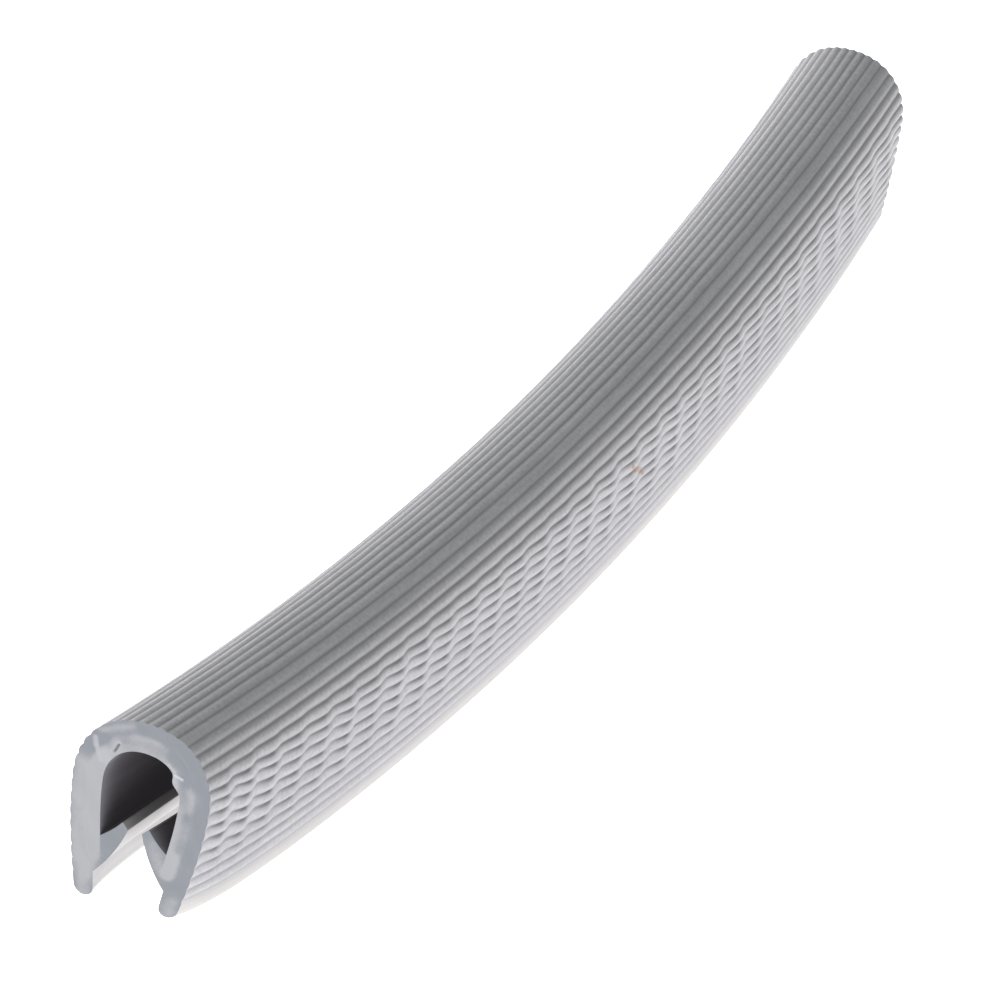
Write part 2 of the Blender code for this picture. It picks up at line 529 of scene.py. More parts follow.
@dataclass(frozen=True)
class Pinch:
    """How the legs lean in beside the near cut, where the blade squeezed them.

    Attributes:
        amount: how far a leg tip moves in at the cut, in metres.
        fade: distance along the trim over which that dies out, in metres.
        top: height up to which the legs move, in metres.
        power: power by which the move fades with height.
    """

    amount: float = 0.00096
    fade: float = 0.0041
    top: float = 0.009
    power: float = 1.5

    def share(self, z: Array) -> Array:
        """Share of the whole move at a height: (1 - z / top)^power, and none above the top."""
        return np.clip(1.0 - z / self.top, 0.0, 1.0) ** self.power

    def moved(self, x: Array, z: Array, s: Array) -> Array:
        """Distances x across, moved in: x less its sign times amount e^(-s / fade) times the share."""
        return x - np.sign(x) * self.amount * np.exp(-s / self.fade) * self.share(z)

    def undone(self, x: Array, z: Array) -> Array:
        """Where points of the near cut were across the section before the pinch moved them."""
        return x + np.sign(x) * self.amount * self.share(z)


@dataclass(frozen=True)
class Stroke:
    """A short straight mark on a cut face.

    Attributes:
        start: one end, across and up, in mm.
        end: the other end, in mm.
        width: half its width, in mm.
        amount: how strong it is: a depth in mm, a change of milkiness, or a share of its colour.
    """

    start: Pair
    end: Pair
    width: float
    amount: float

    def distance(self, points: Array) -> Array:
        """Distance in mm from points to the stroke's middle line, that to the nearest point of the segment.

        Args:
            points: points of the section, in metres.

        Returns:
            An array of distances.
        """
        a, b = np.array(self.start), np.array(self.end)
        apart = points / MM - a
        t = np.clip(apart @ (b - a) / ((b - a) @ (b - a)), 0.0, 1.0)
        return np.linalg.norm(apart - t[:, None] * (b - a), axis=-1)

    def bell(self, points: Array) -> Array:
        """The stroke's amount at points: amount e^(-(distance / width)^2)."""
        return self.amount * np.exp(-((self.distance(points) / self.width) ** 2))


SLIT = Stroke((-2.13, 11.62), (-1.90, 12.20), 0.09, 0.12)
RIDGE = Stroke((2.14, 11.24), (2.62, 11.08), 0.12, -0.05)


@dataclass(frozen=True)
class CutFace:
    """Fills a section's outline with small triangles, so that a cut face can carry its own relief.

    Attributes:
        spacing: distance between the inner points, in metres.
        fine: distance between them beside a scar, in metres.
        reach: how far from a scar they are fine, in mm.
        margin: least distance of an inner point from the outline, as a part of the spacing.
        row: distance between two rows of inner points, as a part of the spacing.
        saw: depth of the blade's shallow marks, in metres.
        travel: direction of the blade's stroke, across and up.
        ripple: the marks along it: radians for each mm, and the size and rate of their unevenness.
        swell: the marks across it: their share, and radians for each mm.
        soft: softness of the step from skin to band, in mm.
        scars: slits and ridges in the near cut.
        clouds: where the near cut is more or less milky than its layers are.
    """

    spacing: float = 0.00021
    fine: float = 0.00006
    reach: float = 0.3
    margin: float = 0.45
    row: float = 0.87
    saw: float = 0.000012
    travel: Pair = (0.8, 0.6)
    ripple: tuple[float, float, float] = (3.1, 0.6, 0.9)
    swell: Pair = (0.6, 1.3)
    soft: float = 0.09
    scars: tuple[Stroke, ...] = (SLIT, RIDGE)
    clouds: tuple[Stroke, ...] = (
        Stroke((-4.15, 9.8), (-4.0, 2.8), 0.85, 0.85),
        Stroke((-3.3, 9.0), (-3.3, 5.0), 0.35, -0.20),
        Stroke((-3.2, 2.4), (-3.4, 2.0), 0.70, 0.60),
        Stroke((-2.95, 12.3), (-2.5, 11.9), 0.42, -0.50),
        Stroke((-3.2, 12.9), (-1.2, 13.9), 0.35, 0.60),
        Stroke((-1.4, 12.6), (1.6, 12.6), 0.60, -0.42),
        Stroke((2.05, 12.5), (3.0, 11.2), 0.62, -1.0),
        Stroke((2.7, 10.6), (3.1, 8.6), 0.50, -0.55),
        Stroke((3.3, 8.2), (3.2, 5.5), 0.36, -0.62),
        Stroke((-3.7, 0.2), (-3.75, 1.3), 0.60, 0.70),
        Stroke((3.7, 0.2), (3.75, 1.3), 0.60, 0.70),
        Stroke((1.5, 5.2), (2.5, 3.6), 0.60, 0.60),
    )

    def lattice(self, outline: Array, step: float) -> Array:
        """Points of a staggered grid over the outline's box.

        Args:
            outline: the section's points, in order.
            step: distance between the points.

        Returns:
            An array of points.
        """
        low, high = outline.min(axis=0), outline.max(axis=0)
        rows = np.arange(low[1] + step, high[1], step * self.row)
        columns = np.arange(low[0] + step, high[0], step)
        x, z = np.meshgrid(columns, rows)
        x = x + step * 0.5 * (np.arange(len(rows)) % 2)[:, None]
        return np.stack([x.ravel(), z.ravel()], axis=-1)

    def inside(self, points: Array, outline: Array, step: float) -> Array:
        """The points that lie inside the outline and off its edge.

        Formula: a point is inside if a ray along +X crosses the outline an odd number of times, and its
        distance to each edge is that to the nearest point of the segment.

        Args:
            points: the points.
            outline: the section's points, in order.
            step: distance between the points.

        Returns:
            An array of the points that are kept.
        """
        a, b = outline, np.roll(outline, -1, axis=0)
        edge = b - a
        apart = points[:, None] - a
        crosses = (a[:, 1] > points[:, 1, None]) != (b[:, 1] > points[:, 1, None])
        rise = np.where(edge[:, 1] == 0.0, 1.0, edge[:, 1])
        at = a[:, 0] + apart[..., 1] * edge[:, 0] / rise
        odd = (crosses & (points[:, 0, None] < at)).sum(axis=1) % 2 == 1
        t = np.clip((apart * edge).sum(axis=-1) / np.maximum((edge**2).sum(axis=-1), 1e-18), 0.0, 1.0)
        gap = np.linalg.norm(apart - t[..., None] * edge, axis=-1).min(axis=1)
        return points[odd & (gap > self.margin * step)]

    def inner_points(self, outline: Array, scars: tuple[Stroke, ...]) -> Array:
        """Points inside the outline, closer together beside the scars.

        Args:
            outline: the section's points, in order.
            scars: the slits and ridges.

        Returns:
            An array of points.
        """
        kept = []
        for step, is_fine in ((self.spacing, False), (self.fine, True)):
            points = self.lattice(outline, step)
            gaps = [np.full(len(points), np.inf)] + [scar.distance(points) for scar in scars]
            beside = np.min(gaps, axis=0) <= self.reach
            kept.append(self.inside(points[beside == is_fine], outline, step))
        return np.concatenate(kept)

    def fill(self, outline: Array, scars: tuple[Stroke, ...]) -> tuple[Array, Array]:
        """Triangulates the outline with its inner points.

        Args:
            outline: the section's points, in order.
            scars: the slits and ridges.

        Returns:
            The inner points, and triangles that run anticlockwise and number the outline's points first.
        """
        inner = self.inner_points(outline, scars)
        points = np.concatenate([outline, inner])
        ring = list(range(len(outline)))
        found = delaunay_2d_cdt(list(map(Vector, points.tolist())), [], [ring], 1, 1e-9)
        origin = np.array([ids[0] for ids in found[3]])
        return inner, origin[np.array(found[2])]


def refined(line: Array, steps: int) -> Array:
    """The same line with each of its straight runs split into equal steps.

    Args:
        line: the line's points.
        steps: number of steps in each run.

    Returns:
        An array of points.
    """
    at = np.linspace(0.0, len(line) - 1.0, (len(line) - 1) * steps + 1)
    own = np.arange(len(line))
    return np.stack([np.interp(at, own, line[:, 0]), np.interp(at, own, line[:, 1])], axis=-1)


def nearest(points: Array, line: Array) -> Array:
    """Distance from each point to the nearest of a line's closely spaced points."""
    return np.linalg.norm(points[:, None] - line[None], axis=-1).min(axis=1)


def around_from(outline: Array) -> Array:
    """Each point's distance along an outline from its first point."""
    return np.append(0.0, np.cumsum(np.hypot(*np.diff(outline, axis=0).T)))


def linked(name: str, data: bpy.types.ID) -> bpy.types.Object:
    """A new object with this data, in the scene."""
    made = bpy.data.objects.new(name, data)
    bpy.context.scene.collection.objects.link(made)
    return made


@dataclass(frozen=True)
class Rings:
    """An outline carried along the trim, as rings of points.

    Attributes:
        x: distances across, one row for each ring.
        z: heights, one row for each ring.
        s: each ring's distance from the near end, before the cut's slant.
        v: the outline's points' distances around it, with the first point's again at the end.
        surface: the surface of the stretch after each point of the outline.
        groove: each point's share of a groove's depth.
    """

    x: Array
    z: Array
    s: Array
    v: Array
    surface: Array
    groove: Array


@dataclass
class Extrusion:
    """A closed mesh from one outline carried along the bend, with a filled cut face at each end.

    Attributes:
        name: name of the piece.
        bend: the bend.
        pinch: the legs' pinch beside the near cut.
        cut: how the cut faces are filled.
        joint: the joint between the two plastics, right half, which the cut faces' milky band follows.
    """

    name: str
    bend: Bend
    pinch: Pinch
    cut: CutFace
    joint: Array

    def milk(self, points: Array, inner: bool, end: End) -> Array:
        """How milky a cut face is: 1 in the band and 0 in the skin, and the near cut has clouds too.

        Formula: the step between is 1 / (1 + e^(-d / soft)), with d the distance from the joint, negative in
        the skin.

        Args:
            points: points of the cut face.
            inner: True for the band, False for the sheath.
            end: the end that the face closes.

        Returns:
            A share for each point.
        """
        line = refined(self.joint, steps=16)
        line = np.concatenate([line, line * MIRROR])
        side = 1.0 if inner else -1.0
        clouds = ()
        if end is End.NEAR:
            points = np.stack([self.pinch.undone(points[:, 0], points[:, 1]), points[:, 1]], axis=-1)
            clouds = self.cut.clouds
        layers = 1.0 / (1.0 + np.exp(-side * nearest(points, line) / (self.cut.soft * MM)))
        return layers + sum(cloud.bell(points) for cloud in clouds)

    def sides(self, s: Array, v: Array, around: int) -> tuple[Array, Array]:
        """The faces between the rings, and their UV map.

        Args:
            s: each ring's distance from the near end.
            v: the outline's points' distances around it, with the first point's again at the end.
            around: number of points in a ring.

        Returns:
            Faces of four points, and the corners' places along and around.
        """
        row = np.arange(len(s) - 1)[:, None] * around
        column = np.arange(around)
        after = (column + 1) % around
        quads = np.stack([row + column, row + after, row + around + after, row + around + column], axis=-1)
        u = np.broadcast_to(s[:, None], (len(s), around))
        quad_u = np.stack([u[:-1], u[:-1], u[1:], u[1:]], axis=-1)
        quad_v = np.broadcast_to(np.stack([v[:-1], v[1:], v[1:], v[:-1]], axis=-1), quad_u.shape)
        return quads.reshape(-1, 4), np.stack([quad_u, quad_v], axis=-1).reshape(-1, 2)

    def build(self, rows: Rings, inner: bool) -> bpy.types.Object:
        """Makes the piece.

        Args:
            rows: the piece's rings of points.
            inner: True for the band, whose cut face is milky.

        Returns:
            The new object.
        """
        rings, around = rows.x.shape
        z = rows.z
        station = np.broadcast_to(rows.s[:, None], z.shape)
        along = self.bend.along(rows.x, z, station)
        across = self.pinch.moved(rows.x, z, station)
        bodies = [self.bend.place(across, z, along).reshape(-1, 3)]
        quads, quad_uv = self.sides(rows.s, rows.v, around)
        corners = [quad_uv]
        slots = [np.broadcast_to(rows.surface, (rings - 1, around)).ravel()]
        milks = [np.zeros(rings * around)]
        triangles = []
        first = rings * around
        for end in End:
            is_near = end is End.NEAR
            ring = 0 if is_near else rings - 1
            outline = np.stack([across[ring], z[ring]], axis=-1)
            filled, faces = self.cut.fill(outline, self.cut.scars if is_near else ())
            flat = np.concatenate([outline, filled])
            ids = np.concatenate([np.arange(around) + ring * around, np.arange(len(filled)) + first])
            first += len(filled)
            bodies.append(self.cut_points(filled, end))
            milk = self.milk(flat, inner, end)
            milks[0][ring * around : (ring + 1) * around] = milk[:around]
            milks.append(milk[around:])
            order = faces if is_near else faces[:, ::-1]
            triangles.append(ids[order])
            corners.append(flat[order].reshape(-1, 2))
            slot = Surface.NEAR_CUT if is_near else Surface.FAR_CUT
            slots.append(np.full(len(faces), slot.value))
        mesh = bpy.data.meshes.new(self.name)
        mesh.from_pydata(np.concatenate(bodies), [], quads.tolist() + np.concatenate(triangles).tolist())
        mesh.polygons.foreach_set("material_index", np.concatenate(slots).astype(np.int32))
        layer = mesh.uv_layers.new(name="along")
        layer.data.foreach_set("uv", np.concatenate(corners).ravel().astype(np.float32))
        self.attribute(mesh, "milk", np.concatenate(milks))
        grooves = np.zeros(first)
        grooves[: rings * around] = np.broadcast_to(rows.groove, (rings, around)).ravel()
        self.attribute(mesh, "groove", grooves)
        self.sharpen_cuts(mesh, rings, around)
        count = 2 * len(quads) + sum(map(len, triangles))
        LOG.info("%s: %d rings of %d points, %d triangles", self.name, rings, around, count)
        return linked(self.name, mesh)

    def cut_points(self, flat: Array, end: End) -> Array:
        """Places a cut face's inner points, with the blade's marks and the scars.

        Formula: the marks are two crossing sine waves, quick along the blade's stroke and slow across it. The
        near cut's slant follows the place that a point had before the pinch.

        Args:
            flat: the inner points in the section.
            end: the end that the face closes.

        Returns:
            An array of points with three columns.
        """
        x, z = flat[:, 0], flat[:, 1]
        across, up = self.cut.travel
        stroke = (x * across + z * up) / MM
        quick, size, rate = self.cut.ripple
        share, slow = self.cut.swell
        marks = np.sin(stroke * quick + size * np.sin(stroke * rate))
        marks = marks + share * np.sin((z * across - x * up) / MM * slow)
        if end is End.FAR:
            return self.bend.place(x, z, self.bend.length + marks * self.cut.saw)
        scars = sum(scar.bell(flat) for scar in self.cut.scars) * MM
        cut = self.bend.along(self.pinch.undone(x, z), z, np.zeros_like(x))
        return self.bend.place(x, z, cut + marks * self.cut.saw + scars)

    def attribute(self, mesh: bpy.types.Mesh, name: str, values: Array) -> None:
        """Stores one number for each vertex under a name."""
        layer = mesh.attributes.new(name, "FLOAT", "POINT")
        layer.data.foreach_set("value", values.astype(np.float32))

    def sharpen_cuts(self, mesh: bpy.types.Mesh, rings: int, around: int) -> None:
        """Shades the piece smooth and marks the edges of both cut faces as sharp.

        Args:
            mesh: the piece's mesh.
            rings: number of rings.
            around: number of points in a ring.
        """
        mesh.polygons.foreach_set("use_smooth", np.ones(len(mesh.polygons), bool))
        ends = np.empty(len(mesh.edges) * 2, np.int32)
        mesh.edges.foreach_get("vertices", ends)
        a, b = ends.reshape(-1, 2).T
        same = (a // around == b // around) & (np.maximum(a, b) < rings * around)
        edge_ring = (a // around == 0) | (a // around == rings - 1)
        step = np.abs(a - b)
        layer = mesh.attributes.new("sharp_edge", "BOOLEAN", "EDGE")
        layer.data.foreach_set("value", same & edge_ring & ((step == 1) | (step == around - 1)))


@dataclass
class RibbedSheath(Extrusion):
    """The grey sheath: ribbed skin, round leg tips and two grip lips.

    Attributes:
        section: sizes of the section.
        ribs: the ribs.
        fingers: the fingers that push the ribs.
        parts: places of the rings within a finger.
        smooth_steps: number of points on each smooth strip between the ribs and the leg's inner side.
        smooth: length of that strip's end in which nothing strays, in mm.
        blunt: how much shallower the grooves are at the near cut.
        blunt_length: distance over which that dies out, in mm.
        sunk: how far the surface lies below its nominal place, as a part of the fingers' lift.
        inner_leg: length around the leg's inner side, in mm.
        twist_size: how far the ribs have crept round the section at the far end, in metres.
        twist_length: length of the stretch over which they do, in metres.
        twist_power: power by which the creep grows.
    """

    section: Section = field(default_factory=Section)
    ribs: Ribs = field(default_factory=Ribs)
    fingers: Fingers = field(default_factory=Fingers)
    parts: tuple[float, ...] = (0.0, 0.13, 0.27, 0.41, 0.55, 0.69, 0.79, 0.89)
    smooth_steps: int = 10
    smooth: float = 2.0
    blunt: float = 0.2
    blunt_length: float = 0.7
    sunk: float = 0.55
    inner_leg: float = 2.0
    twist_size: float = 0.0005
    twist_length: float = 0.040
    twist_power: float = 1.5

    def outside(self, s: Array) -> tuple[Array, Array, Array, Array]:
        """The ribbed outside from the left leg tip over the crown to the right one.

        Formula: a point at u along the smooth outer surface first moves along it by the fingers' sideways
        step, the straying and the twist, and then along its normal by the outward step less its share of the
        groove's depth. Grooves are shallower beside the near cut by blunt e^(-s / blunt_length).

        Args:
            s: the rings' distances from the near end.

        Returns:
            Distances across, heights, the points' shares of a groove's depth, and their places around.
        """
        line = self.section.outer()
        run = around_from(line)
        slope = np.gradient(line, run, axis=0)
        u, share = self.ribs.points()
        tip = run[-1]
        even = np.linspace(0.0, 1.0, self.smooth_steps + 1)
        left = -tip + (tip + u[0]) * even[:-1]
        right = u[-1] + (tip - u[-1]) * even[1:]
        share = np.concatenate([np.zeros(len(left)), share, np.zeros(len(right))])
        u = np.concatenate([left, u, right])
        moved, out, kept = self.fingers.steps(s[:, None], u[None])
        strayed = self.ribs.strayed(s[:, None], u[None]) * (np.abs(u) < tip - self.smooth * MM)
        at = u + moved + strayed + self.twist(s)[:, None]
        size, side = np.abs(at), np.sign(at)
        nx = -np.interp(size, run, slope[:, 1]) * side
        nz = np.interp(size, run, slope[:, 0])
        blunt = 1.0 - self.blunt * np.exp(-s[:, None] / (self.blunt_length * MM))
        groove = share * kept * blunt
        depth = out - groove * self.ribs.depth - self.fingers.lift * self.sunk * MM
        x = np.interp(size, run, line[:, 0]) * side + nx * depth
        z = np.interp(size, run, line[:, 1]) + nz * depth
        return x, z, groove, u

    def twist(self, s: Array) -> Array:
        """How far the ribs creep round: size t^power, with t from 0 to 1 over the last stretch."""
        t = np.clip((s - (self.bend.length - self.twist_length)) / self.twist_length, 0.0, 1.0)
        return self.twist_size * t**self.twist_power

    def make(self) -> bpy.types.Object:
        """Builds the sheath.

        Returns:
            The new object.
        """
        s = self.fingers.stations(self.bend.length, np.array(self.parts))
        x, z, groove, u = self.outside(s)
        lip, lip_surface = self.section.lip()
        half = np.concatenate([lip, self.joint])
        rest = np.concatenate([half, half[-2::-1] * MIRROR])
        shape = (len(s), len(rest))
        x = np.concatenate([x, np.broadcast_to(rest[:, 0], shape)], axis=1)
        z = np.concatenate([z, np.broadcast_to(rest[:, 1], shape)], axis=1)
        groove = np.concatenate([groove, np.zeros(shape)], axis=1)
        leg = [Surface.INSIDE.value]
        half_surface = np.append(lip_surface, np.full(len(self.joint) - 1, Surface.INSIDE.value))
        outside = np.full(len(u) - 1, Surface.OUTSIDE.value)
        surface = np.concatenate([outside, leg, half_surface, half_surface[::-1], leg])
        steps = np.hypot(*np.diff(np.concatenate([rest, [[x[0, 0], z[0, 0]]]]), axis=0).T)
        v = np.concatenate([u, u[-1] + np.cumsum(np.append(self.inner_leg * MM, steps))])
        return self.build(Rings(x, z, s, v, surface, groove), inner=False)


@dataclass
class CarrierBand(Extrusion):
    """The paler band that lines the channel.

    Attributes:
        section: sizes of the section.
        rings: number of rings along the trim beyond the cut's slant.
        near_rings: number of rings in that slant.
        crowding: power that draws them towards the near cut.
        burr: how far the torn edge beside the near cut stands into the channel, in metres.
        burr_height: height of the burr's middle, in metres.
        burr_half: half its height, in metres.
        burr_fade: how far it runs along the trim, in metres.
    """

    section: Section = field(default_factory=Section)
    rings: int = 160
    near_rings: int = 24
    crowding: float = 1.4
    burr: float = 0.00042
    burr_height: float = 0.01055
    burr_half: float = 0.00055
    burr_fade: float = 0.0006

    def torn(self, x: Array, z: Array, s: Array) -> Array:
        """How far the right wall stands in: burr e^(-((z - height) / half)^2) e^(-(s / fade)^2)."""
        high, near = ((z - self.burr_height) / self.burr_half) ** 2, (s / self.burr_fade) ** 2
        return np.where(x > 0.0, self.burr * (np.exp(-high) * np.exp(-near)), 0.0)

    def make(self) -> bpy.types.Object:
        """Builds the band.

        Returns:
            The new object.
        """
        near = np.linspace(0.0, 1.0, self.near_rings, endpoint=False) ** self.crowding * self.bend.fade
        s = np.concatenate([near, np.linspace(self.bend.fade, self.bend.length, self.rings)])
        outer = self.joint[::-1]
        wall = self.section.channel()[::-1]
        right = np.concatenate([outer, wall])
        outline = np.concatenate([right, right[-2:0:-1] * MIRROR])
        x = np.tile(outline[:, 0], (len(s), 1))
        z = np.tile(outline[:, 1], (len(s), 1))
        channel = slice(len(outer), len(right))
        x[:, channel] -= self.torn(x[:, channel], z[:, channel], s[:, None])
        surface = np.full(len(outline), Surface.INSIDE.value)
        surface[: len(outer)] = Surface.OUTSIDE.value
        surface[-len(outer) + 1 :] = Surface.OUTSIDE.value
        v = around_from(np.concatenate([outline, outline[:1]]))
        return self.build(Rings(x, z, s, v, surface, np.zeros(len(outline))), inner=True)


def operator(operation: str, swapped: bool = False) -> Callable[["Signal", "Signal | float"], "Signal"]:
    """A method that adds the Math node of one of Python's operators; swapped puts the other value first."""

    def method(self: "Signal", other: "Signal | float") -> "Signal":
        """The Math node's output."""
        return self.graph.maths(operation, *((other, self) if swapped else (self, other)))

    return method


@dataclass(frozen=True)
class Signal:
    """A node's output in a graph, with Python's operators for its maths."""

    graph: "Graph"
    socket: bpy.types.NodeSocket

    __add__ = __radd__ = operator("ADD")
    __mul__ = __rmul__ = operator("MULTIPLY")
    __sub__, __rsub__ = operator("SUBTRACT"), operator("SUBTRACT", swapped=True)
    __truediv__, __rtruediv__ = operator("DIVIDE"), operator("DIVIDE", swapped=True)
    __pow__, __rpow__ = operator("POWER"), operator("POWER", swapped=True)

    def ramp(self, low: float, high: float) -> "Signal":
        """Smooth step from 0 at low to 1 at high."""
        inputs = {"Value": self, "From Min": low, "From Max": high}
        return self.graph.out("ShaderNodeMapRange", {"interpolation_type": "SMOOTHSTEP"}, inputs, "Result")


class Graph:
    """A node tree."""

    def __init__(self, tree: bpy.types.NodeTree) -> None:
        """Keeps the tree."""
        self.tree = tree

    def node(self, kind: str, settings: dict[str, object], inputs: dict[str | int, object]) -> bpy.types.Node:
        """Adds a node.

        Args:
            kind: the node's type.
            settings: its settings, which are set first.
            inputs: values or links of its sockets, by name, identifier or number.

        Returns:
            The node.
        """
        made = self.tree.nodes.new(kind)
        for key, value in settings.items():
            setattr(made, key, value)
        sockets = {socket.name: socket for socket in reversed(made.inputs)}
        sockets.update({socket.identifier: socket for socket in made.inputs})
        for key, value in inputs.items():
            self.connect(made.inputs[key] if isinstance(key, int) else sockets[key], value)
        return made

    def connect(self, socket: bpy.types.NodeSocket, value: object) -> None:
        """Links a signal to a socket, or sets the socket's own value."""
        if isinstance(value, Signal):
            self.tree.links.new(value.socket, socket)
        else:
            socket.default_value = value

    def out(self, kind: str, settings: dict[str, object], inputs: dict, output: str | int = 0) -> Signal:
        """One output of a new node."""
        return Signal(self, self.node(kind, settings, inputs).outputs[output])

    def maths(self, operation: str, a: Signal | float, b: Signal | float) -> Signal:
        """One Math node on two values."""
        return self.out("ShaderNodeMath", {"operation": operation}, {0: a, 1: b})

    def blend(self, factor: Signal, a: object, b: object) -> Signal:
        """A mix of two colours."""
        inputs = {"Factor_Float": factor, "A_Color": a, "B_Color": b}
        return self.out("ShaderNodeMix", {"data_type": "RGBA"}, inputs, 2)

    def vector(self, operation: str, inputs: dict[str | int, object], output: str = "Vector") -> Signal:
        """One Vector Math node."""
        return self.out("ShaderNodeVectorMath", {"operation": operation}, inputs, output)

    def component(self, vector: Signal, axis: int) -> Signal:
        """One of a vector's three numbers."""
        return self.out("ShaderNodeSeparateXYZ", {}, {0: vector}, axis)

    def segment(self, place: Signal, start: Pair, end: Pair) -> Signal:
        """Distance from a place to a straight line between two points.

        Formula: the length of p - a - t (b - a), with t = (p - a).(b - a) / |b - a|^2 held between 0 and 1.

        Args:
            place: the place, in the same units as the points.
            start: one end.
            end: the other end.

        Returns:
            The distance.
        """
        a, b = Vector((*start, 0.0)), Vector((*end, 0.0))
        apart = self.vector("SUBTRACT", {0: place, 1: a})
        dot = self.vector("DOT_PRODUCT", {0: apart, 1: b - a}, "Value")
        share = {0: dot, 1: 1.0 / (b - a).length_squared}
        t = self.out("ShaderNodeMath", {"operation": "MULTIPLY", "use_clamp": True}, share)
        foot = self.vector("SCALE", {0: b - a, "Scale": t})
        return self.vector("LENGTH", {0: self.vector("SUBTRACT", {0: apart, 1: foot})}, "Value")

    def stroke(self, place: Signal, stroke: Stroke, under: Signal, colour: Colour) -> Signal:
        """Draws a stroke's colour over another one, with an edge as soft as the stroke is wide.

        Args:
            place: the place, in millimetres.
            stroke: the stroke, whose amount is its share at the middle.
            under: the colour below it.
            colour: its own colour.

        Returns:
            The colour.
        """
        distance = self.segment(place, stroke.start, stroke.end)
        inner, outer = STROKE_EDGE
        share = (1.0 - distance.ramp(inner * stroke.width, outer * stroke.width)) * stroke.amount
        return self.blend(share, under, colour)

    def attribute(self, name: str) -> Signal:
        """A number stored on the mesh."""
        return self.out("ShaderNodeAttribute", {"attribute_name": name}, {}, "Fac")

    def lengthwise(self, along: float, around: float) -> Signal:
        """The piece's own lengthwise UV, scaled to so many units per metre along and around."""
        uv = self.out("ShaderNodeUVMap", {"uv_map": "along"}, {}, "UV")
        return self.vector("MULTIPLY", {0: uv, 1: (along, around, 1.0)})

    def millimetres(self) -> Signal:
        """The same UV in millimetres: along and around on the sides, across and up on a cut."""
        return self.lengthwise(1.0 / MM, 1.0 / MM)

    def noise(self, vector: Signal, scale: float, detail: float, roughness: float) -> Signal:
        """Noise from 0 to 1 at a scale."""
        inputs = {"Vector": vector, "Scale": scale, "Detail": detail, "Roughness": roughness}
        return self.out("ShaderNodeTexNoise", {}, inputs, "Fac")

    def streaks(self, along: float, around: float, detail: float = 3.0, roughness: float = 0.6) -> Signal:
        """Noise drawn out along the trim, with so many units per metre along and around."""
        return self.noise(self.lengthwise(along, around), 1.0, detail, roughness)

    def grain(self, scale: float, detail: float = 2.0, roughness: float = 0.5) -> Signal:
        """Noise on Object coordinates, the same in all directions, with so many units per metre."""
        return self.noise(self.out("ShaderNodeTexCoord", {}, {}, "Object"), scale, detail, roughness)


class Surfacing(Graph):
    """The node tree of one material."""

    def __init__(self, name: str) -> None:
        """Starts a material with its Principled shader."""
        self.material = bpy.data.materials.new(name)
        self.material.use_nodes = True
        super().__init__(self.material.node_tree)
        self.shader = self.tree.nodes["Principled BSDF"]

    def finish(
        self, sockets: dict[str, object], relief: Signal | None = None, deep: float = 0.0
    ) -> bpy.types.Material:
        """Connects the shader.

        Args:
            sockets: signals and values of the shader's sockets.
            relief: height of the fine relief, from 0 to 1, or None.
            deep: what a height of 1 stands for, in metres.

        Returns:
            The material.
        """
        if relief is not None:
            bump = {"Height": relief, "Distance": deep, "Strength": 1.0}
            sockets = sockets | {"Normal": self.out("ShaderNodeBump", {}, bump, "Normal")}
        for key, value in (PLASTIC | sockets).items():
            self.connect(self.shader.inputs[key], value)
        return self.material


